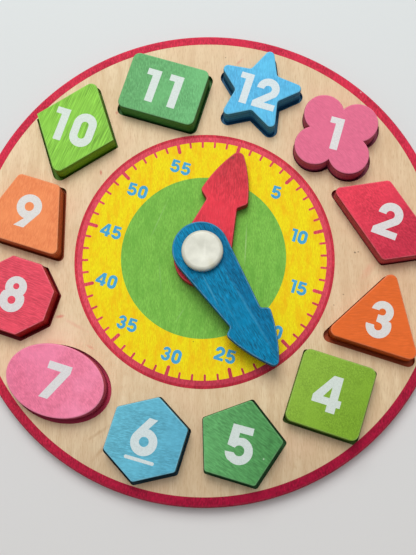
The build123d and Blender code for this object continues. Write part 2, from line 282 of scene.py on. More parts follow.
def painted_wood(name, top, side, grain=GRAIN, stretch=5.0, fibre_mm=0.6, streak=0.2,
                 blotch=0.12, wear_and_highlight=0.35, relief_mm=0.1, fade=None, marks=()):
    """Satin paint on sanded wood. Grain is the fibre's direction in degrees, and stretch how much
    longer than wide a fibre is. Streak and blotch say how much the tone varies along fibres and
    over the whole face, relief_mm how deep the fibres are, and wear_and_highlight how pale the top
    edges are, which is partly wear and partly painted highlight. Side is the sawn sides' darker
    tone, which is painted shade. Fade is the tone that the top runs into, with its direction,
    middle and reach."""
    material, tree, shader = new_material(name)
    coords = add_node(tree, "ShaderNodeTexCoord").outputs
    place = coords["Object"]
    fibre = fibres(tree, place, fibre_mm, stretch, direction=grain)
    mottle = add_node(tree, "ShaderNodeTexNoise", {
        "Vector": place, "Scale": per_metre(MOTTLE_MM), "Detail": 4.0,
        "Roughness": 0.6}).outputs["Fac"]
    broad = add_node(tree, "ShaderNodeTexNoise", {
        "Vector": place, "Scale": per_metre(BLOTCH_MM), "Detail": 2.0}).outputs["Fac"]
    tone = laid_over(tree, linear(top, 1 - streak), linear(top, 1 + streak), fibre, 0.35, 0.65)
    tone = laid_over(tree, tone, linear(top, 1 - 1.2 * blotch), mottle, 0.45, 0.65, 0.5)
    tone = laid_over(tree, tone, linear(top, 1 + 1.5 * blotch), broad, 0.45, 0.65, 0.5)
    if fade:
        tone = faded(tree, place, tone, top, *fade)
    tone = with_marks(tree, place, tone, marks)
    up = add_node(tree, "ShaderNodeSeparateXYZ", {0: coords["Normal"]}).outputs[2]
    # Painted shade: where the surface turns upright it takes the sides' darker tone.
    painted = laid_over(tree, sawn_side(tree, place, side, fibre), tone, up, 0.3, 0.8)
    # The pale edge tone is partly worn paint and partly a painted highlight.
    worn_and_lit_tone = between(linear(top, 1.4), linear("#FFFFFF"), 0.2)
    final = add_node(tree, "ShaderNodeMix", {
        0: rubbed_edge(tree, up, mottle, wear_and_highlight), 6: painted, 7: worn_and_lit_tone}, data_type="RGBA")
    satin = add_node(tree, "ShaderNodeMapRange", {
        "Value": mottle, "From Min": 0.35, "From Max": 0.65, "To Min": 0.5, "To Max": 0.65})
    height = add_node(tree, "ShaderNodeBump", {"Height": fibre, "Strength": min(1.0, 2 * streak),
                                               "Distance": relief_mm * MM})
    tree.links.new(final.outputs[2], shader.inputs["Base Color"])
    tree.links.new(satin.outputs["Result"], shader.inputs["Roughness"])
    tree.links.new(height.outputs[0], shader.inputs["Normal"])
    shader.inputs["IOR"].default_value = PAINT_IOR
    shader.inputs["Specular IOR Level"].default_value = PAINT_GLOSS
    return material


print("paint: mottle", MOTTLE_MM, "mm, blotches", BLOTCH_MM, "mm")

# %% [markdown]
# Each block has its own paint. Top and side are its two tones, and the side's darker tone is
# painted shade. Grain and stretch lay its fibres the way that block was sawn, and fade lets one
# side of the face run a little darker or paler, towards a direction in degrees. Twelve materials
# could be made one by one, but one table keeps them side by side, and only what differs is
# written down.

# %% Paint of the twelve blocks
BLOCKS = {
    12: dict(node="block_12_star", top="#5EBDF2", side="#3A85B0", streak=0.2, blotch=0.2,
             wear_and_highlight=0.45),
    1: dict(node="block_01_quatrefoil", top="#E67194", side="#B04868", grain=152, streak=0.1,
            blotch=0.05),
    2: dict(node="block_02_parallelogram", top="#E94057", side="#B8444E", grain=150, stretch=2.0,
            fibre_mm=0.9, streak=0.25, blotch=0.2, wear_and_highlight=0.5, fade=("#C8324A", -28)),
    3: dict(node="block_03_triangle", top="#E96D2F", side="#C05018", grain=17, stretch=8.0,
            streak=0.1, blotch=0.05),
    # Block 4's fade, darker towards -28 degrees, is painted shade.
    4: dict(node="block_04_square", top="#8EB840", side="#5A7F1C", stretch=1.5, streak=0.22,
            blotch=0.1, fade=("#7FAA30", -28)),
    5: dict(node="block_05_pentagon", top="#63AB69", side="#2F7038", grain=162, stretch=4.5,
            fibre_mm=1.0, streak=0.3, blotch=0.1, relief_mm=0.35, fade=("#509455", 10),
            marks=[dict(at=(70.0, -105.7), size=(0.6, 0.6), turn=0, tint="#C8E0C8",
                        strength=0.8)]),
    6: dict(node="block_06_hexagon", top="#68BAD3", side="#205060", grain=9, streak=0.24,
            blotch=0.2, wear_and_highlight=0.6, fade=("#5CACC8", 0)),
    7: dict(node="block_07_ellipse", top="#F27EA1", side="#C85070", recess="#E0406C", grain=-43,
            stretch=3.0, streak=0.14, blotch=0.24, wear_and_highlight=0.5, fade=("#F888AA", 17)),
    8: dict(node="block_08_octagon", top="#EA5065", side="#A81420", grain=-3, stretch=8.0,
            streak=0.28, blotch=0.12, wear_and_highlight=0.6, relief_mm=0.25),
    9: dict(node="block_09_trapezoid", top="#FF915D", side="#C86030", grain=92, streak=0.18,
            blotch=0.12, relief_mm=0.2),
    10: dict(node="block_10_rhombus", top="#8DCD4D", side="#6FA020", grain=85, stretch=20.0,
             fibre_mm=0.6, streak=0.4, blotch=0.08, relief_mm=0.2),
    11: dict(node="block_11_rectangle", top="#6BB072", side="#3F7E38", stretch=3.0, fibre_mm=0.8,
             streak=0.24, blotch=0.16, fade=("#70B97A", 17)),
}
print("blocks", len(BLOCKS))

# %% [markdown]
# The sawn openings of the face board are painted in each block's own colour, and so is the floor
# below them, so the board has to know which hour a point belongs to. Its angle round the dial says
# so. The border between two paints lies halfway between the corners of two neighbouring blocks,
# which are measured on the blocks' own meshes.

# %% Where one hour's paint ends and the next begins
LEAN = {3: -1.6}  # the triangle leans away from its neighbour
RECESS_SHADE = 0.8  # painted shade: the openings' paint is drawn darker, as in shade


def hour_ends(hour):
    """The corners of a block with the lowest and highest angle round the dial, measured from its
    own hour: (angle, x, y)."""
    middle = radians(90 - 30 * hour)
    corners = []
    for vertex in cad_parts[BLOCKS[hour]["node"]].data.vertices:
        x, y = vertex.co.x, vertex.co.y
        turn = atan2(y * cos(middle) - x * sin(middle), x * cos(middle) + y * sin(middle))
        corners.append((turn, x, y))
    return min(corners), max(corners)


def hour_borders():
    """Each hour, and the share of a full turn from 9 o'clock at which its paint begins. A block
    that leans away from a wall of its opening moves that border by its lean in degrees."""
    order = [(8 - step) % 12 + 1 for step in range(13)]
    borders = [(9, 0.0)]
    for step, (hour, ahead) in enumerate(zip(order, order[1:])):
        ends = hour_ends(hour)[1][0] + hour_ends(ahead)[0][0] + radians(LEAN.get(ahead, 0))
        borders.append((ahead, (step + 0.5) / 12 + ends / (4 * pi)))
    return borders


def recess_paint(hour):
    """The paint inside an hour's opening: that of its block's sides, unless it has its own,
    made darker still as painted shade.
    """
    block = BLOCKS[hour]
    return linear(block.get("recess", block["side"]), RECESS_SHADE)


print([(hour, round(place, 3)) for hour, place in hour_borders()])

# %% [markdown]
# Three pairs of neighbours overlap in angle: one reaches past the border near the dial, the other
# further out. A small disc of the right paint round each such corner mends it.

# %% Corners past a border
CROSSING_PAIRS = ((1, 2), (3, 4), (8, 9))
CORNER_DISC = 5.5 * MM
CORNERS = [(pair[side], hour_ends(pair[side])[side][1:]) for pair in CROSSING_PAIRS
           for side in (0, 1)]
print("corners", [(hour, round(x, 3), round(y, 3)) for hour, (x, y) in CORNERS])

# %% [markdown]
# A board that is handled picks up rubs of red paint, a few dark specks of knot, and pale and brown
# smears. One broad pale patch between the 7 and the 8 is painted light. Each mark has a place and
# a size in millimetres, a turn, a tint, and a strength. They could be painted on an image, but a
# short list stays sharp at any distance.

# %% Marks of use
MARKS_AND_PAINTED_LIGHT = [
    dict(at=(-79.8, 34.2), size=(0.7, 2.2), turn=20, tint="#C8554A", strength=0.8),
    dict(at=(-83.1, 75.7), size=(1.0, 1.6), turn=0, tint="#C8554A", strength=0.6),
    dict(at=(-73.8, -61.2), size=(3.2, 1.2), turn=25, tint="#D9695C", strength=0.8),
    dict(at=(-63.0, -63.5), size=(9.0, 1.4), turn=-12, tint="#E29A80", strength=0.45),
    dict(at=(-72.0, -77.0), size=(8.0, 2.0), turn=15, tint="#E29A80", strength=0.45),
    # Painted light: a broad pale patch that brightens the wood between the 7 and the 8.
    dict(at=(-74.0, -73.0), size=(22.0, 13.0), turn=20, tint="#F6D2B8", strength=0.45),
    dict(at=(-49.5, -73.5), size=(3.5, 1.0), turn=-10, tint="#DD8874", strength=0.5),
    dict(at=(-17.4, 131.9), size=(4.0, 1.0), turn=60, tint="#DD8874", strength=0.5),
    dict(at=(99.0, 22.0), size=(10.0, 3.0), turn=70, tint="#E29A80", strength=0.35),
    dict(at=(88.3, 30.4), size=(0.9, 0.7), turn=0, tint="#5A4430", strength=0.9),
    dict(at=(90.2, 31.4), size=(0.6, 0.6), turn=0, tint="#5A4430", strength=0.7),
    dict(at=(88.7, 3.0), size=(0.8, 0.5), turn=0, tint="#5A4430", strength=0.6),
    dict(at=(84.9, -5.1), size=(0.6, 0.5), turn=0, tint="#5A4430", strength=0.6),
    dict(at=(-26.8, 132.4), size=(0.6, 0.5), turn=0, tint="#5A4430", strength=0.6),
    dict(at=(-22.0, -128.0), size=(12.0, 1.6), turn=65, tint="#B48C62", strength=0.55),
    dict(at=(-28.0, -121.0), size=(9.0, 1.4), turn=50, tint="#B48C62", strength=0.45),
]
print("marks of use", len(MARKS_AND_PAINTED_LIGHT))

# %% [markdown]
# The openings' paint is chosen inside the board's material: a colour ramp with one hard step for
# each hour turns a point's angle into that hour's paint, and a small disc of its own paint lies at
# each crossing corner. Painting the walls face by face would do too, but it would have to be done
# again after every change to a block.

# %% The openings' paint
def hour_paint_round(tree, parts):
    """The openings' paint at a point, by its angle round the dial and its nearness to a corner."""
    angle = add_node(tree, "ShaderNodeMath", {0: parts[1], 1: parts[0]}, operation="ARCTAN2")
    share = add_node(tree, "ShaderNodeMapRange", {
        "Value": angle.outputs[0], "From Min": -pi, "From Max": pi}).outputs["Result"]
    hours = add_node(tree, "ShaderNodeValToRGB", {0: share})
    hours.color_ramp.interpolation = "CONSTANT"
    stops = hours.color_ramp.elements
    for step, (hour, place) in enumerate(hour_borders()):
        stop = stops[step] if step < 2 else stops.new(place)
        stop.position = place
        stop.color = recess_paint(hour)
    paint = hours.outputs[0]
    flat = add_node(tree, "ShaderNodeCombineXYZ", {0: parts[0], 1: parts[1]}).outputs[0]
    for hour, corner in CORNERS:
        far = add_node(tree, "ShaderNodeVectorMath", {0: flat, 1: (*corner, 0)},
                       operation="DISTANCE").outputs["Value"]
        close = add_node(tree, "ShaderNodeMath", {0: far, 1: CORNER_DISC}, operation="LESS_THAN")
        paint = add_node(tree, "ShaderNodeMix", {
            0: close.outputs[0], 6: paint, 7: recess_paint(hour)}, data_type="RGBA").outputs[2]
    return paint


print("steps of paint round the dial", len(hour_borders()))

# %% [markdown]
# The board is birch plywood under clear lacquer. Birch is pale and quiet: broad soft bands, fine
# pores drawn out along the grain, and a slow change of tone from one side to the other. Real pores
# are about 0.1 mm wide; here they are 0.7 mm, as coarse as they need to be to show. The lacquer
# leaves a soft, low shine. A mask lets the openings' paint on to one part of the board only.

# %% Lacquered birch
PORE_MM = 0.7
BAND_MM = 5.0
CLOUD_MM = 24.0
BLUSH_MM = 38.0
LACQUER_ROUGHNESS = 0.55
# Each fade is its two tones, its direction, its middle and its reach: the board runs deeper
# towards the 3, and darker at the rim below the 5, which is painted shade.
WOOD_FADES_AND_SHADE = (
    ("#EBCEA8", "#E4C59F", 17, (0, 0), 100),
    ("#E3C39E", "#D0B290", -73, (32, -105), 22),
)


def birch(name, recess_mask):
    """Lacquered birch ply. The mask is what part of the board is painted in the hours' colours."""
    material, tree, shader = new_material(name)
    coords = add_node(tree, "ShaderNodeTexCoord").outputs
    place = coords["Object"]
    pores = fibres(tree, place, PORE_MM, 7.0, roughness=0.65)
    bands = fibres(tree, place, BAND_MM, 6.0, detail=4.0)
    clouds = fibres(tree, place, CLOUD_MM, 2.0, roughness=0.5)
    blush = add_node(tree, "ShaderNodeTexNoise", {
        "Vector": place, "Scale": per_metre(BLUSH_MM), "Detail": 2.0}).outputs["Fac"]
    tone = laid_over(tree, linear("#DFC29C"), linear("#F3DDB9"), bands, 0.35, 0.65)
    tone = laid_over(tree, tone, linear("#EBCEA8"), clouds, 0.4, 0.65, 0.6)
    tone = laid_over(tree, tone, linear("#F0CBAA"), blush, 0.5, 0.68, 0.5)
    tone = laid_over(tree, tone, linear("#D2AF86"), pores, 0.48, 0.68, 0.6)
    for fade in WOOD_FADES_AND_SHADE:
        tone = faded(tree, place, tone, *fade)
    tone = with_marks(tree, place, tone, MARKS_AND_PAINTED_LIGHT)
    parts = add_node(tree, "ShaderNodeSeparateXYZ", {0: place}).outputs
    up = add_node(tree, "ShaderNodeSeparateXYZ", {0: coords["Normal"]}).outputs[2]
    final = add_node(tree, "ShaderNodeMix", {
        0: recess_mask(tree, parts, up), 6: tone, 7: hour_paint_round(tree, parts)},
        data_type="RGBA")
    height = add_node(tree, "ShaderNodeBump", {"Height": pores, "Strength": 0.3,
                                               "Distance": 0.08 * MM})
    tree.links.new(final.outputs[2], shader.inputs["Base Color"])
    tree.links.new(height.outputs[0], shader.inputs["Normal"])
    shader.inputs["Roughness"].default_value = LACQUER_ROUGHNESS
    shader.inputs["IOR"].default_value = 1.5
    shader.inputs["Specular IOR Level"].default_value = 0.3
    return material


print("birch: pores", PORE_MM, "mm, bands", BAND_MM, "mm")

# %% [markdown]
# The two boards differ only in where the paint lies. On the face board it is on every upright
# face inside the rim, and on the base board it is on the upper face, which shows only at the
# bottom of the openings. So each has its own mask, made from the surface's direction and place.

# %% Dress the two boards
RIM_KEPT = (2.2 * MM, 2.6 * MM)  # in from the rim: no openings' paint yet, and then all of it
FLOOR_DEPTHS = (0.4 * MM, 0.2 * MM)  # below the floor's surface: the same


def recess_walls(tree, parts, up):
    """Upright faces of the face board, inside its rim."""
    upright = add_node(tree, "ShaderNodeMapRange", {
        "Value": up, "From Min": 0.5, "From Max": 0.4}).outputs["Result"]
    spot = add_node(tree, "ShaderNodeCombineXYZ", {0: parts[0], 1: parts[1]}).outputs[0]
    far = add_node(tree, "ShaderNodeVectorMath", {0: spot}, operation="LENGTH").outputs["Value"]
    inside = add_node(tree, "ShaderNodeMapRange", {
        "Value": far, "From Min": BOARD_RADIUS - RIM_KEPT[0],
        "From Max": BOARD_RADIUS - RIM_KEPT[1]}).outputs["Result"]
    return add_node(tree, "ShaderNodeMath", {0: upright, 1: inside},
                    operation="MULTIPLY").outputs[0]


def recess_floor(tree, parts, up):
    """The base board's upper face, which shows only at the bottom of the openings."""
    return add_node(tree, "ShaderNodeMapRange", {
        "Value": parts[2], "From Min": RECESS_FLOOR - FLOOR_DEPTHS[0],
        "From Max": RECESS_FLOOR - FLOOR_DEPTHS[1]}).outputs["Result"]


for node, name, mask in (("face_board", "lacquered_birch_face", recess_walls),
                         ("base_board", "lacquered_birch_base", recess_floor)):
    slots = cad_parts[node].data.materials
    slots.clear()
    slots.append(birch(name, mask))
print("boards dressed")

# %% [markdown]
# The solids arrive as loose triangles, so a rounded edge would shade in flats. A copy of the mesh
# is welded, smoothed everywhere but at sharp edges, and given weighted normals, which keep the
# big flat faces flat. The copy then stands for the solid, in the same place. Smoothing by hand
# would do too, but one function treats all fifteen pieces alike.

# %% Smooth stand-ins
WELD_DISTANCE = 0.002 * MM
SHARP_ANGLE = radians(35)


def welded_copy(node, name, material, body):
    """A welded, smooth-shaded copy of a solid, which replaces it."""
    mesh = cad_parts[node].data.copy()
    mesh.name = name
    shape = bmesh.new()
    shape.from_mesh(mesh)
    bmesh.ops.remove_doubles(shape, verts=shape.verts, dist=WELD_DISTANCE)
    shape.to_mesh(mesh)
    shape.free()
    mesh.shade_smooth()
    mesh.set_sharp_from_angle(angle=SHARP_ANGLE)
    mesh.materials.clear()
    mesh.materials.append(material)
    piece = bpy.data.objects.new(name, mesh)
    scene.collection.objects.link(piece)
    piece.modifiers.new("flat faces stay flat", "WEIGHTED_NORMAL").keep_sharp = True
    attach(piece, body)
    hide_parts(node)
    return piece


# %% [markdown]
# Every block gets its paint and its stand-in in one loop. Each block rides on its own body, so it
# can be lifted out of its opening. A fade is centred on the block, which is why its middle is
# measured here and not written in the table.

# %% Twelve painted blocks
BLOCK_FADE_REACH = 18.0


def middle_of(node):
    """The middle of a node's box in plan, in millimetres."""
    low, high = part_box(node)
    return (low.x + high.x) / 2 / MM, (low.y + high.y) / 2 / MM


for hour, block in BLOCKS.items():
    look = {key: value for key, value in block.items() if key not in ("node", "recess")}
    if "fade" in look:
        look["fade"] = (*look["fade"], middle_of(block["node"]), BLOCK_FADE_REACH)
    paint = painted_wood(f"block_{hour:02d}_paint", **look)
    welded_copy(block["node"], f"number_block_{hour:02d}", paint, f"number_{hour:02d}")
print("painted blocks", len(BLOCKS))

# %% [markdown]
# The hour hand is short and red, with a deeper tone towards its tip and one brown scuff near its
# head. It is sawn and painted as the blocks are, so it takes the same material with other values.

# %% Hour hand
HOUR_FADE = ("#C93C46", 90, (0, 52), 14)
HOUR_MARKS = [dict(at=(-1.1, 65.1), size=(2.4, 1.2), turn=15, tint="#7C4038", strength=0.6)]
hour_paint = painted_wood("hour_hand_red_paint", "#E53C4D", "#A02A34", streak=0.3, blotch=0.14,
                          wear_and_highlight=0.35, relief_mm=0.2, fade=HOUR_FADE, marks=HOUR_MARKS)
hour_hand = welded_copy("hour_hand", "red_hour_hand", hour_paint, "hour")
print("hour hand faces", len(hour_hand.data.polygons))

# %% [markdown]
# The minute hand was cut from a piece whose middle ply shows as a long step: a fine pale line down
# the hand, lighter on one side of it and darker on the other. A real step would be a tenth of a
# millimetre high, so a sharp fade across the hand and three long thin marks draw it instead: the
# pale lines are painted highlights where the step catches the light, and the darker side is
# painted shade.

# %% Minute hand
STEP_MIDDLE = (39.4, -28.0)
STEP_TURN = -42.5
MINUTE_STEP_HIGHLIGHTS = [
    dict(at=STEP_MIDDLE, size=(34.0, 0.9), turn=STEP_TURN, tint="#3F9CC6", strength=0.45),
    dict(at=(27.0, -30.0), size=(22.0, 0.8), turn=-44, tint="#2F93BE", strength=0.35),
    dict(at=(12.0, -21.5), size=(14.0, 0.6), turn=-46, tint="#5FB4D6", strength=0.4),
]
minute_paint = painted_wood("minute_hand_blue_paint", "#007CAA", "#0C5578", grain=STEP_TURN,
                            stretch=6.0, streak=0.5, blotch=0.15, wear_and_highlight=0.6, relief_mm=0.2,
                            # Painted shade: the fade darkens one side of the step.
                            fade=("#006E9C", STEP_TURN + 90, STEP_MIDDLE, 0.8),
                            marks=MINUTE_STEP_HIGHLIGHTS)
minute_hand = welded_copy("minute_hand", "blue_minute_hand", minute_paint, "minute")
print("minute hand faces", len(minute_hand.data.polygons))

# %% [markdown]
# The cap and the receiver behind it are injection moulded in ivory plastic. It has a soft gloss,
# and shows faint swirls where it cooled: soft noise 6 mm wide for its colour, and a fine grit for
# its skin. The two washers are cut from a duller sheet, so they take the same material with other
# values. Light that sinks in would be truer for a thick piece, but at this size it only blurs the
# edge, so the plain shader is kept.

# %% Moulded plastic
FLOW_MM = 6.0
GRIT_MM = 0.7
PLASTIC_IOR = 1.49


def moulded(name, hex_code, roughness, swirl=0.06, marks=()):
    """Moulded plastic with faint flow marks."""
    material, tree, shader = new_material(name)
    coords = add_node(tree, "ShaderNodeTexCoord").outputs["Object"]
    flow = add_node(tree, "ShaderNodeTexNoise", {
        "Vector": coords, "Scale": per_metre(FLOW_MM), "Detail": 3.0}).outputs["Fac"]
    tone = laid_over(tree, linear(hex_code, 1 - swirl), linear(hex_code, 1 + swirl), flow, 0.3, 0.7)
    tone = with_marks(tree, coords, tone, marks)
    grit = add_node(tree, "ShaderNodeTexNoise", {
        "Vector": coords, "Scale": per_metre(GRIT_MM), "Detail": 2.0}).outputs["Fac"]
    height = add_node(tree, "ShaderNodeBump", {"Height": grit, "Strength": 0.08,
                                               "Distance": 0.05 * MM})
    tree.links.new(tone, shader.inputs["Base Color"])
    tree.links.new(height.outputs[0], shader.inputs["Normal"])
    shader.inputs["Roughness"].default_value = roughness
    shader.inputs["IOR"].default_value = PLASTIC_IOR
    return material


print("plastic: swirls", FLOW_MM, "mm wide, grit", GRIT_MM, "mm")

# %% [markdown]
# The cap is drawn darker along its lower edge, which is painted shade, and has a pale streak and
# a grey patch on its top. It gets a smooth stand-in. The receiver and the washers hardly show, so
# they keep their own meshes and only take the plastic.

# %% Cap, receiver and washers
CAP_SHADE_AND_MARKS = [
    # Painted shade: the first mark darkens the cap's lower edge.
    dict(at=(8.4, -7.0), size=(5.0, 2.4), turn=-50, tint="#BDB898", strength=0.45),
    dict(at=(1.5, 0.5), size=(1.0, 6.0), turn=15, tint="#EDEDE2", strength=0.4),
    dict(at=(-2.5, 2.5), size=(1.4, 3.5), turn=40, tint="#C6C7B8", strength=0.4),
]
ivory = moulded("ivory_moulded_plastic", "#D5D6C9", 0.32, swirl=0.1, marks=CAP_SHADE_AND_MARKS)
washer_plastic = moulded("milky_sheet_plastic", "#D8D8D0", 0.5)
cap = welded_copy("pivot_cap", "ivory_pivot_cap", ivory, "board")
for node, plastic in (("pivot_receiver", ivory), ("board_washer", washer_plastic),
                      ("hand_washer", washer_plastic)):
    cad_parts[node].data.materials.clear()
    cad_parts[node].data.materials.append(plastic)
print("cap faces", len(cap.data.polygons))

# %% [markdown]
# The dial's prints are flat rings a few hundredths of a millimetre thick, and the rim's paint is a
# thin shell round the board. Both are turned shapes. A screw modifier could sweep them, but a
# short function that turns a closed list of (radius, height) points gives a closed solid with no
# seam, and each ring is then only its own profile.

# %% Turned rings
RING_STEPS = 256


def turned_ring(name, profile, centre=(0.0, 0.0)):
    """A closed ring from a closed profile of (radius, height) points."""
    shape = bmesh.new()
    turns = [2 * pi * step / RING_STEPS for step in range(RING_STEPS)]
    loops = [[shape.verts.new((centre[0] + r * cos(turn), centre[1] + r * sin(turn), z))
              for r, z in profile] for turn in turns]
    count = len(profile)
    for step, loop in enumerate(loops):
        ahead = loops[(step + 1) % RING_STEPS]
        for i in range(count):
            j = (i + 1) % count
            shape.faces.new((loop[i], ahead[i], ahead[j], loop[j]))
    bmesh.ops.recalc_face_normals(shape, faces=shape.faces)
    mesh = bpy.data.meshes.new(name)
    shape.to_mesh(mesh)
    shape.free()
    mesh.shade_smooth()
    mesh.set_sharp_from_angle(angle=SHARP_ANGLE)
    piece = bpy.data.objects.new(name, mesh)
    scene.collection.objects.link(piece)
    return piece


print("a ring has", RING_STEPS, "steps")

# %% [markdown]
# Ink that is screened on to wood is flat and matt. The grain still shows a little through it, as
# fine streaks and pale pinholes where the mesh missed a pore. So the ink's noise runs along the
# board's own grain, with a deeper tone where the ink has sunk in. The streaks are 0.6 mm wide,
# coarser than real ones, so that they show.

# %% Screen ink
STREAK_MM = 0.6
SOAKED_MM = 3.5


def screen_ink(name, hex_code, sunk, contrast=0.2, marks=(), fade=None):
    """Matt ink on birch. Sunk is its deeper tone, where it has soaked into the grain, and fade
    the tone it runs into, with a direction, a middle and a reach."""
    material, tree, shader = new_material(name)
    coords = add_node(tree, "ShaderNodeTexCoord").outputs["Object"]
    fine = fibres(tree, coords, STREAK_MM, 4.0)
    broad = fibres(tree, coords, SOAKED_MM, 3.0, detail=4.0)
    tone = laid_over(tree, linear(hex_code, 1 - contrast), linear(hex_code, 1 + contrast), fine,
                     0.35, 0.65)
    tone = laid_over(tree, tone, linear(sunk), broad, 0.42, 0.68, 0.6)
    if fade:
        tone = faded(tree, coords, tone, hex_code, *fade)
    tone = with_marks(tree, coords, tone, marks)
    height = add_node(tree, "ShaderNodeBump", {"Height": fine, "Strength": 0.3,
                                               "Distance": 0.08 * MM})
    tree.links.new(tone, shader.inputs["Base Color"])
    tree.links.new(height.outputs[0], shader.inputs["Normal"])
    shader.inputs["Roughness"].default_value = 0.6
    shader.inputs["IOR"].default_value = PAINT_IOR
    shader.inputs["Specular IOR Level"].default_value = PAINT_GLOSS
    return material


print("ink: streaks", STREAK_MM, "mm, soaked patches", SOAKED_MM, "mm")

# %% [markdown]
# The dial has four prints: a yellow ring, a green disc that lies a little off centre, a rose ring
# round both, and a crimson line on its outer half. Each lies one film of ink higher than the one
# below it. They could be one flat mesh with four colours, but then the overlaps would not show.

# %% Dial print
GREEN_RADIUS_MM = 51.4
GREEN_CENTRE = (-0.57 * MM, 0.61 * MM)
YELLOW_OUTER_MM = 76.1
RING_OUTER_MM = 80.9
LINE_INNER_MM = 79.2
INK_MM = 0.03


def flat_band(inner_mm, outer_mm, films):
    """The profile of a flat printed band on the face board, so many films of ink thick."""
    low, high = FACE_TOP - 0.02 * MM, FACE_TOP + films * INK_MM * MM
    inner, outer = inner_mm * MM, outer_mm * MM
    return [(inner, low), (outer, low), (outer, high), (inner, high)]


SCRATCHES = [
    dict(at=(22.5, 15.5), size=(14.0, 0.5), turn=104, tint="#B9DC98", strength=0.6),
    dict(at=(-34.5, 15.0), size=(15.0, 0.5), turn=84, tint="#A4D284", strength=0.45),
    dict(at=(-3.0, -38.0), size=(6.0, 0.5), turn=75, tint="#A4D284", strength=0.4),
    dict(at=(-22.0, -20.0), size=(12.0, 0.6), turn=112, tint="#97C878", strength=0.35),
]
RING_FADE = (-60, (28, -48), 25)  # both red prints run deeper towards the 5
SPECKS = [dict(at=(9.7, -51.7), size=(0.6, 0.5), turn=0, tint="#6A5A28", strength=0.7)]
yellow_ink = screen_ink("yellow_screen_ink", "#FFE211", "#F8B20E", contrast=0.15, marks=SPECKS)
green_ink = screen_ink("green_screen_ink", "#81C250", "#66A93E", marks=SCRATCHES)
red_ink = screen_ink("rose_screen_ink", "#EA5164", "#C83A50", contrast=0.3,
                     fade=("#C93D53", *RING_FADE))
line_ink = screen_ink("crimson_screen_ink", "#D5394B", "#AE2437", contrast=0.3,
                      fade=("#B8293D", *RING_FADE))
bands = [
    ("dial_yellow", yellow_ink, flat_band(GREEN_RADIUS_MM - 2, YELLOW_OUTER_MM, 1), (0, 0)),
    ("dial_green", green_ink, flat_band(WASHER_RADIUS / MM - 1, GREEN_RADIUS_MM, 2),
     GREEN_CENTRE),
    ("dial_ring", red_ink, flat_band(YELLOW_OUTER_MM - 0.1, RING_OUTER_MM, 2), (0, 0)),
    ("dial_ring_line", line_ink, flat_band(LINE_INNER_MM, RING_OUTER_MM + 0.05, 3), (0, 0)),
]
for name, ink, profile, centre in bands:
    band = turned_ring(name, profile, centre)
    band.data.materials.append(ink)
    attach(band, "board")
print("printed bands", len(bands))

# %% [markdown]
# The rim is brushed with crimson: over the outer 6 mm of the face, round the edge and down the
# side. Its profile is the board's own edge, with paint 0.06 mm to either side of it, so the ring
# is a thin closed shell that the board's edge runs inside.

# %% Painted rim
RIM_INNER = 143.9 * MM
RIM_ROUND = 2.0 * MM
PAINT = 0.06 * MM
BARE_BELOW = 1.3 * MM
ARC_STEPS = 8


def rounded_edge(radius):
    """The board's upper edge as a quarter arc of a radius, from the face to the side."""
    x, z = BOARD_RADIUS - RIM_ROUND, FACE_TOP - RIM_ROUND
    turns = [radians(90 - 90 * step / ARC_STEPS) for step in range(ARC_STEPS + 1)]
    return [(x + radius * cos(turn), z + radius * sin(turn)) for turn in turns]


side_bottom = BOARD_BOTTOM + BARE_BELOW
rim_profile = [(RIM_INNER, FACE_TOP + PAINT), *rounded_edge(RIM_ROUND + PAINT),
               (BOARD_RADIUS + PAINT, side_bottom), (BOARD_RADIUS - PAINT, side_bottom),
               *reversed(rounded_edge(RIM_ROUND - PAINT)), (RIM_INNER, FACE_TOP - PAINT)]
rim = turned_ring("rim_paint", rim_profile)
RIM_FADE = ("#9B0A34", -55, (46, -65), 70)  # deeper towards the 4
RIM_MARKS = [dict(at=(64.0, 133.6), size=(0.8, 0.7), turn=0, tint="#E8B0B4", strength=0.8)]
rim.data.materials.append(painted_wood("crimson_rim_paint", "#CD2C49", "#A3193A", stretch=2.0,
                                       fibre_mm=1.0, streak=0.4, blotch=0.2, wear_and_highlight=0.1,
                                       marks=RIM_MARKS, fade=RIM_FADE))
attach(rim, "board")
print("rim profile points", len(rim_profile))

# %% [markdown]
# Sixty minute ticks grow inwards from the red ring, and every fifth is longer and wider. They
# repeat by a rule, so Geometry Nodes make them: one tick with a rounded end is placed on the
# points of a circle, turned to face the centre, and scaled where its number divides by five.

# %% One minute tick
TICK_LENGTH = 3.9 * MM
TICK_WIDTH = 1.35 * MM
TICK_OVERLAP = 0.3 * MM
TICK_END_STEPS = 8


def tick_mesh():
    """A tick that lies along -X from the origin, with a half-round end."""
    half = TICK_WIDTH / 2
    ends = [radians(90 + 180 * step / TICK_END_STEPS) for step in range(TICK_END_STEPS + 1)]
    outline = [(TICK_OVERLAP, -half), (TICK_OVERLAP, half)]
    outline += [(half - TICK_LENGTH + half * cos(turn), half * sin(turn)) for turn in ends]
    shape = bmesh.new()
    face = shape.faces.new([shape.verts.new((x, y, 0)) for x, y in outline])
    face.normal_update()
    if face.normal.z < 0:
        face.normal_flip()
    grown = bmesh.ops.extrude_face_region(shape, geom=[face])["geom"]
    raised = [item for item in grown if isinstance(item, bmesh.types.BMVert)]
    bmesh.ops.translate(shape, verts=raised, vec=(0, 0, INK_MM * 3 * MM))
    bmesh.ops.recalc_face_normals(shape, faces=shape.faces)
    mesh = bpy.data.meshes.new("minute_ticks")
    shape.to_mesh(mesh)
    shape.free()
    return mesh


print("tick", round(TICK_LENGTH / MM, 2), "by", round(TICK_WIDTH / MM, 2), "mm")

# %% [markdown]
# The tree takes the tick's mesh and five named values. A Mesh Circle gives the places, the index
# of each point gives its turn, and a Switch makes every fifth tick larger. It ends in Realize
# Instances and Set Material, because an exported model keeps real faces only.

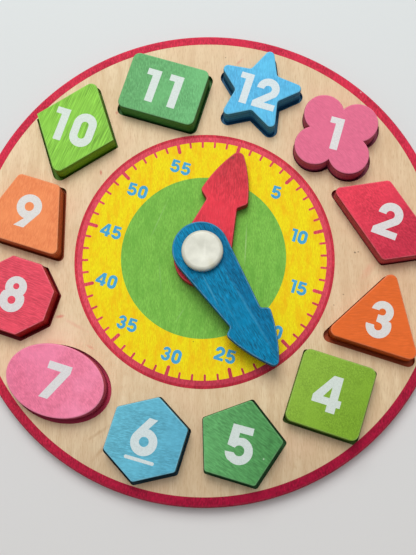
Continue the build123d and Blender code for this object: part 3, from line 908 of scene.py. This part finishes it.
# %% Tick tree
TICK_INPUTS = (("Geometry", "Geometry"), ("Count", "Int"), ("Radius", "Float"),
               ("Major Length", "Float"), ("Major Width", "Float"), ("Material", "Material"))


def tick_tree():
    """Places the incoming tick on a circle, larger at every fifth place."""
    tree = bpy.data.node_groups.new("minute_ticks", "GeometryNodeTree")
    for name, kind in TICK_INPUTS:
        tree.interface.new_socket(name, in_out="INPUT", socket_type="NodeSocket" + kind)
    tree.interface.new_socket("Geometry", in_out="OUTPUT", socket_type="NodeSocketGeometry")
    given = add_node(tree, "NodeGroupInput").outputs
    circle = add_node(tree, "GeometryNodeMeshCircle", {"Vertices": given["Count"],
                                                       "Radius": given["Radius"]}).outputs[0]
    index = add_node(tree, "GeometryNodeInputIndex").outputs[0]
    fifth = add_node(tree, "ShaderNodeMath", {0: index, 1: 5.0}, operation="MODULO").outputs[0]
    is_major = add_node(tree, "FunctionNodeCompare", {0: fifth, 1: 0.5}, data_type="FLOAT",
                        operation="LESS_THAN").outputs[0]
    major = add_node(tree, "ShaderNodeCombineXYZ", {0: given["Major Length"],
                                                    1: given["Major Width"], 2: 1.0}).outputs[0]
    size = add_node(tree, "GeometryNodeSwitch", {"Switch": is_major, "False": (1.0, 1.0, 1.0),
                                                 "True": major}, input_type="VECTOR").outputs[0]
    step = add_node(tree, "ShaderNodeMath", {0: 2 * pi, 1: given["Count"]}, operation="DIVIDE")
    turn = add_node(tree, "ShaderNodeMath", {0: index, 1: step.outputs[0]}, operation="MULTIPLY")
    turned = add_node(tree, "ShaderNodeCombineXYZ", {2: turn.outputs[0]}).outputs[0]
    placed = add_node(tree, "GeometryNodeInstanceOnPoints", {
        "Points": circle, "Instance": given["Geometry"], "Rotation": turned,
        "Scale": size}).outputs[0]
    real = add_node(tree, "GeometryNodeRealizeInstances", {0: placed}).outputs[0]
    inked = add_node(tree, "GeometryNodeSetMaterial", {"Geometry": real,
                                                       "Material": given["Material"]})
    result = add_node(tree, "NodeGroupOutput")
    tree.links.new(inked.outputs[0], result.inputs[0])
    return tree


def set_input(modifier, name, value):
    """Sets a Geometry Nodes input by its identifier."""
    for item in modifier.node_group.interface.items_tree:
        if item.item_type == "SOCKET" and item.in_out == "INPUT" and item.name == name:
            modifier[item.identifier] = value


print("tick tree inputs", [name for name, kind in TICK_INPUTS])

# %% [markdown]
# The tick's own mesh is only a seed. The modifier spreads it, the evaluated result becomes a plain
# mesh, and the seed is thrown away, so no modifier is left on the piece that rides on the board.

# %% Ticks on the dial
MAJOR_LENGTH_SCALE = 6.2 / 3.9  # a fifth tick is 6.2 mm long, and the others 3.9
MAJOR_WIDTH_SCALE = 1.6
TICK_SINK = 0.01 * MM

seed = bpy.data.objects.new("tick_seed", tick_mesh())
scene.collection.objects.link(seed)
spread = seed.modifiers.new("spread", "NODES")
spread.node_group = tick_tree()
for name, value in (("Count", 60), ("Radius", YELLOW_OUTER_MM * MM),
                    ("Major Length", MAJOR_LENGTH_SCALE), ("Major Width", MAJOR_WIDTH_SCALE),
                    ("Material", red_ink)):
    set_input(spread, name, value)
evaluated = seed.evaluated_get(bpy.context.evaluated_depsgraph_get())
ticks_mesh = bpy.data.meshes.new_from_object(evaluated)
ticks_mesh.transform(Matrix.Translation((0, 0, FACE_TOP - TICK_SINK)))
bpy.data.objects.remove(seed)
ticks = bpy.data.objects.new("minute_ticks", ticks_mesh)
scene.collection.objects.link(ticks)
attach(ticks, "board")
print("tick faces", len(ticks_mesh.polygons))

# %% [markdown]
# The numerals are a plain, heavy sans serif, the same one for the hours and the minutes. Each
# digit is drawn as outlines of straight lines and arcs in millimetres, for a digit 22 mm tall with
# its corner at the origin. A hole in a digit is one more loop, and a flat curve filled on both
# sides turns the loops into a closed slab of ink.

# %% Digit outlines
DEGREES_A_STEP = 10


def arc_points(x, y, radius, start, end):
    """Points on an arc, in millimetres and degrees."""
    steps = max(2, round(abs(end - start) / DEGREES_A_STEP))
    turns = [radians(start + (end - start) * step / steps) for step in range(steps + 1)]
    return [(x + radius * cos(turn), y + radius * sin(turn)) for turn in turns]


DIGITS = {
    "0": [arc_points(7.6, 14.9, 7.5, 0, 180) + arc_points(7.6, 7.1, 7.5, 180, 360),
          arc_points(7.6, 14.5, 2.4, 0, 180) + arc_points(7.6, 7.5, 2.4, 180, 360)],
    "1": [[(0, 21.6), (8.8, 21.6), (8.8, 0), (3.8, 0), (3.8, 17.4), (0, 17.4)]],
    "2": [[(0.2, 13.8)] + arc_points(7.8, 14.4, 7.6, 180, -35)
          + [(7.6, 4.4), (15.4, 4.4), (15.4, 0), (0, 0), (0, 4.0)]
          + arc_points(7.7, 14.2, 2.6, -35, 180) + [(5.1, 13.8)]],
    "3": [[(0.7, 16.1)] + arc_points(7.4, 15.7, 6.45, 175, -43) + [(11.65, 11.35)]
          + arc_points(7.35, 7.3, 7.35, 30, -178) + [(0, 7.1), (4.7, 7.1)]
          + arc_points(7.25, 6.8, 2.3, 172, 450) + [(5.4, 9.3), (5.4, 13.65)]
          + arc_points(7.35, 15.7, 2.05, 270, 530) + [(5.3, 16.1)]],
    "4": [[(9.2, 21.6), (14.8, 21.6), (14.8, 8.2), (17.0, 8.2), (17.0, 3.9), (14.8, 3.9), (14.8, 0),
           (9.4, 0), (9.4, 3.9), (0, 3.9), (0, 8.0)],
          [(5.9, 8.2), (9.9, 8.2), (9.9, 14.8)]],
    "5": [[(1.2, 21.8), (13.4, 21.8), (13.4, 17.6), (6.0, 17.6), (6.0, 14.8)]
          + arc_points(8.0, 7.6, 7.75, 84, -120) + [(2.25, 1.75), (0.7, 3.75), (0, 5.8), (5.0, 6.1)]
          + arc_points(7.9, 7.7, 3.0, -145, 158) + [(0.6, 9.6)]],
    "6": [[(7.0, 22.0), (12.2, 22.0), (8.2, 15.4)] + arc_points(8.0, 7.7, 8.0, 84, -212),
          arc_points(8.0, 7.9, 2.9, 0, 360)[:-1]],
    "7": [[(0, 21.8), (14.4, 21.8), (14.4, 17.6), (6.0, 0), (0.4, 0), (8.6, 17.2), (0, 17.2)]],
    "8": [arc_points(7.75, 15.35, 6.55, -27, 207) + [(2.3, 12.0)]
          + arc_points(7.75, 7.55, 7.6, 150, 390) + [(13.2, 12.0)],
          arc_points(7.7, 15.85, 1.85, 0, 360)[:-1],
          arc_points(7.75, 7.3, 2.4, 0, 360)[:-1]],
    "9": [[(8.8, 0.3), (2.3, 0.3), (7.4, 6.2)] + arc_points(7.95, 13.9, 7.9, 266, -18),
          arc_points(7.9, 14.0, 2.9, 0, 360)[:-1]],
}
DIGIT_HEIGHT = 22.0
DIGIT_GAP = 2.6
print("digits", len(DIGITS))

# %% [markdown]
# A number is its digits' outlines side by side, centred on the origin, with a gap between them.
# The flat curve is filled and thickened, turned into a mesh, welded and set in its place. A text
# object would be quicker, but its letters would be a font's, and these are the clock's own.

# %% Slabs of ink
INK_WELD = 0.001 * MM


def digit_width(digit):
    """How wide a digit is, in millimetres."""
    return max(x for loop in DIGITS[digit] for x, y in loop)


def ink_slab(name, loops, place, thickness):
    """A thin closed slab from flat loops, moved to its place in the mesh."""
    curve = bpy.data.curves.new(name, "CURVE")
    curve.dimensions = "2D"
    curve.fill_mode = "BOTH"
    curve.extrude = thickness / 2
    for loop in loops:
        spline = curve.splines.new("POLY")
        spline.points.add(len(loop) - 1)
        for point, (x, y) in zip(spline.points, loop):
            point.co = (x * MM, y * MM, 0, 1)
        spline.use_cyclic_u = True
    carrier = bpy.data.objects.new(name, curve)
    scene.collection.objects.link(carrier)
    evaluated = carrier.evaluated_get(bpy.context.evaluated_depsgraph_get())
    mesh = bpy.data.meshes.new_from_object(evaluated)
    bpy.data.objects.remove(carrier)
    mesh.name = name
    shape = bmesh.new()
    shape.from_mesh(mesh)
    bmesh.ops.remove_doubles(shape, verts=shape.verts, dist=INK_WELD)
    bmesh.ops.recalc_face_normals(shape, faces=shape.faces)
    shape.to_mesh(mesh)
    shape.free()
    mesh.transform(place)
    piece = bpy.data.objects.new(name, mesh)
    scene.collection.objects.link(piece)
    return piece


def number_loops(text, gap=DIGIT_GAP):
    """The loops of a whole number, centred on the origin."""
    loops, cursor = [], 0.0
    for digit in text:
        loops += [[(x + cursor, y) for x, y in loop] for loop in DIGITS[digit]]
        cursor += digit_width(digit) + gap
    width = cursor - gap
    return [[(x - width / 2, y - DIGIT_HEIGHT / 2) for x, y in loop] for loop in loops]


print("widths in mm", {digit: round(digit_width(digit), 1) for digit in DIGITS})

# %% [markdown]
# The hours are printed in white on the painted blocks. White ink is thin enough for the paint
# below to tint it, so each block has its own white: mostly ink, and the rest the block's colour,
# clearer in some places than in others.

# %% White ink for the block numbers
WHITE_INK = "#DCE5E6"
INK_HIDING = 0.88  # the share of the ink's own colour; the rest is the paint below
INK_GRAIN_MM = 0.9


def white_ink(name, paint):
    """White ink, thin enough for the block's paint and its grain to show through a little."""
    material, tree, shader = new_material(name)
    coords = add_node(tree, "ShaderNodeTexCoord").outputs["Object"]
    fine = add_node(tree, "ShaderNodeTexNoise", {
        "Vector": coords, "Scale": per_metre(INK_GRAIN_MM), "Detail": 3.0,
        "Roughness": 0.7}).outputs["Fac"]
    thin = between(linear(paint, 0.8), linear(WHITE_INK, 0.88), INK_HIDING)
    full = between(linear(paint, 1.1), linear(WHITE_INK, 1.1), INK_HIDING)
    tree.links.new(laid_over(tree, thin, full, fine, 0.3, 0.75), shader.inputs["Base Color"])
    shader.inputs["Roughness"].default_value = 0.5
    return material


print("white ink hides", INK_HIDING, "of the paint below")

# %% [markdown]
# No two numbers were printed in quite the same place or size, so each has its own centre, turn and
# height, in millimetres and degrees. Each rides on its block's body, and rises with it.

# %% Numbers on the blocks
BLOCK_NUMBERS = {
    12: dict(centre=(1.4, 110.9), turn=-0.5, height=20.9, gap=3.6),
    1: dict(centre=(55.2, 97.6), turn=1.0, height=21.4),
    2: dict(centre=(101.8, 53.1), turn=-4.3, height=21.9),
    3: dict(centre=(112.7, -7.7), turn=-1.0, height=22.6),
    4: dict(centre=(95.3, -58.2), turn=0.0, height=22.0),
    5: dict(centre=(55.0, -102.1), turn=2.5, height=22.4),
    6: dict(centre=(0.9, -114.1), turn=0.0, height=21.9),
    7: dict(centre=(-60.5, -99.7), turn=0.0, height=22.2),
    8: dict(centre=(-102.8, -57.4), turn=0.0, height=22.6),
    9: dict(centre=(-112.4, -5.6), turn=0.0, height=22.2),
    10: dict(centre=(-103.3, 54.6), turn=-1.0, height=21.9, gap=4.2),
    11: dict(centre=(-57.9, 95.8), turn=-0.8, height=22.4, gap=5.9),
}
NUMBER_INK_MM = 0.06


def number_place(centre, turn, height, top):
    """Where a number lies: scaled from the 22 mm drawing, turned, and set on a face."""
    scale = height / DIGIT_HEIGHT
    return (Matrix.Translation((centre[0] * MM, centre[1] * MM, top + 0.01 * MM))
            @ Matrix.Rotation(radians(turn), 4, "Z") @ Matrix.Diagonal((scale, scale, 1, 1)))


number_inks = {hour: white_ink(f"white_ink_on_block_{hour:02d}", block["top"])
               for hour, block in BLOCKS.items()}
for hour, number in BLOCK_NUMBERS.items():
    place = number_place(number["centre"], number["turn"], number["height"], BLOCK_TOP)
    loops = number_loops(str(hour), number.get("gap", DIGIT_GAP))
    piece = ink_slab(f"printed_number_{hour:02d}", loops, place, NUMBER_INK_MM * MM)
    piece.data.materials.append(number_inks[hour])
    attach(piece, f"number_{hour:02d}")
print("block numbers", len(BLOCK_NUMBERS))

# %% [markdown]
# The six has a bar below it, so that it isn't read as a nine when the block is turned round. It is
# one more loop of ink, with two half-round ends.

# %% Bar below the six
BAR_LENGTH = 18.1
BAR_WIDTH = 2.0
BAR_CENTRE = (1.4, -127.9)
BAR_TURN = 1.5
half = BAR_WIDTH / 2
bar_loop = (arc_points(BAR_LENGTH / 2 - half, 0, half, -90, 90)
            + arc_points(half - BAR_LENGTH / 2, 0, half, 90, 270))
bar_place = number_place(BAR_CENTRE, BAR_TURN, DIGIT_HEIGHT, BLOCK_TOP)
bar = ink_slab("printed_bar_06", [bar_loop], bar_place, NUMBER_INK_MM * MM)
bar.data.materials.append(number_inks[6])
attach(bar, "number_06")
print("bar", BAR_LENGTH)

# %% [markdown]
# The minutes are printed on the yellow ring in sky blue, every fifth one, all upright. They use
# the hours' digits at a smaller height. The hands lie over two of them, which are drawn as well,
# because the hands turn.

# %% Minute numbers on the dial
MINUTE_HEIGHT = 8.4
MINUTE_CENTRES = {
    5: (31.1, 53.6), 10: (52.8, 30.3), 15: (61.4, -1.0), 20: (53.4, -31.4), 25: (30.7, -53.9),
    30: (-0.6, -63.6), 35: (-32.5, -53.2), 40: (-53.5, -31.2), 45: (-61.0, -0.5),
    50: (-53.4, 29.5), 55: (-31.8, 52.1), 60: (-0.6, 61.8),
}
blue_ink = screen_ink("sky_blue_screen_ink", "#4CADDC", "#3F9FD0")
for minute, centre in MINUTE_CENTRES.items():
    place = number_place(centre, 0.0, MINUTE_HEIGHT, FACE_TOP + INK_MM * MM)
    piece = ink_slab(f"printed_minute_{minute:02d}", number_loops(str(minute)), place,
                     INK_MM * 2 * MM)
    piece.data.materials.append(blue_ink)
    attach(piece, "board")
print("minute numbers", len(MINUTE_CENTRES))

# %% [markdown]
# The clock lies on a plain pale table, far wider than the frame. It is drawn a touch paler and
# cooler towards the far side, which is painted light. It is only a stage for the clock, so one
# flat face is enough.

# %% Floor
FLOOR_HALF = 6.0
FLOOR_LEVEL = -0.1 * MM
FLOOR_TONE = "#DFDEDF"
FLOOR_PAINTED_LIGHT = ("#DFE5E8", GRAIN, (0, 0), 220)

floor_mesh = bpy.data.meshes.new("floor")
floor_corners = [(-1, -1), (1, -1), (1, 1), (-1, 1)]
floor_mesh.from_pydata([(x * FLOOR_HALF, y * FLOOR_HALF, FLOOR_LEVEL) for x, y in floor_corners],
                       [], [(0, 1, 2, 3)])
floor = bpy.data.objects.new("floor", floor_mesh)
scene.collection.objects.link(floor)
floor_material, floor_tree, floor_shader = new_material("pale_table")
floor_coords = add_node(floor_tree, "ShaderNodeTexCoord").outputs["Object"]
# Painted light: the table is drawn paler and cooler towards the far side.
floor_lit_tone = faded(floor_tree, floor_coords, linear(FLOOR_TONE), FLOOR_TONE, *FLOOR_PAINTED_LIGHT)
floor_tree.links.new(floor_lit_tone, floor_shader.inputs["Base Color"])
floor_shader.inputs["Roughness"].default_value = 0.8
floor_mesh.materials.append(floor_material)
print("floor", 2 * FLOOR_HALF, "m wide")

# %% [markdown]
# A big lamp beyond the 11 gives the soft shadows, a broad sun lifts the whole face, and a pale sky
# fills the shadows. Together they light a level face at about full strength, so a colour shows
# nearly as it is written. A lamp is easiest to place by where it stands and what it looks at, so
# one function aims every lamp at the middle of the clock.

# %% Lamps
LAMP_COLOUR = "#FFFDF8"
LAMP_PLACE = (-0.36, 0.74, 1.25)
LAMP_ACROSS = 0.96
LAMP_POWER = 11.3
DAYLIGHT_FROM = (-0.2, 0.45, 1.6)
DAYLIGHT_SPREAD = radians(40)
DAYLIGHT_STRENGTH = 1.0


def aimed_lamp(name, kind, place, colour):
    """A lamp at a place, aimed at the middle of the clock."""
    data = bpy.data.lights.new(name, kind)
    data.color = linear(colour)[:3]
    lamp = bpy.data.objects.new(name, data)
    lamp.location = place
    lamp.rotation_euler = (-Vector(place)).to_track_quat("-Z", "Y").to_euler()
    scene.collection.objects.link(lamp)
    return data


window = aimed_lamp("window", "AREA", LAMP_PLACE, LAMP_COLOUR)
window.shape = "DISK"
window.size = LAMP_ACROSS
window.energy = LAMP_POWER
daylight = aimed_lamp("daylight", "SUN", DAYLIGHT_FROM, LAMP_COLOUR)
daylight.angle = DAYLIGHT_SPREAD
daylight.energy = DAYLIGHT_STRENGTH
print("lamps", window.energy, daylight.energy)

# %% [markdown]
# The sky has two strengths: a low one that lights the clock, and a higher one that is seen in the
# background, in gloss and through clear things. Light Path tells those rays from the rest. One
# strength for both would either flood the shadows or leave shiny plastic with a dark sky in it.

# %% Sky
SKY_LIGHT = 0.25
SKY_SEEN = 0.72

world = bpy.data.worlds.new("pale_sky")
world.use_nodes = True
tree = world.node_tree
sky = tree.nodes["Background"]
sky.inputs["Color"].default_value = linear("#F8FAFC")
path = add_node(tree, "ShaderNodeLightPath").outputs
seen = add_node(tree, "ShaderNodeMath", {0: path["Is Camera Ray"], 1: path["Is Glossy Ray"]},
                operation="ADD").outputs[0]
seen = add_node(tree, "ShaderNodeMath", {0: seen, 1: path["Is Transmission Ray"]},
                operation="ADD", use_clamp=True).outputs[0]
strength = add_node(tree, "ShaderNodeMapRange", {"Value": seen, "To Min": SKY_LIGHT,
                                                 "To Max": SKY_SEEN}).outputs["Result"]
tree.links.new(strength, sky.inputs["Strength"])
scene.world = world
print("sky", SKY_LIGHT, SKY_SEEN)
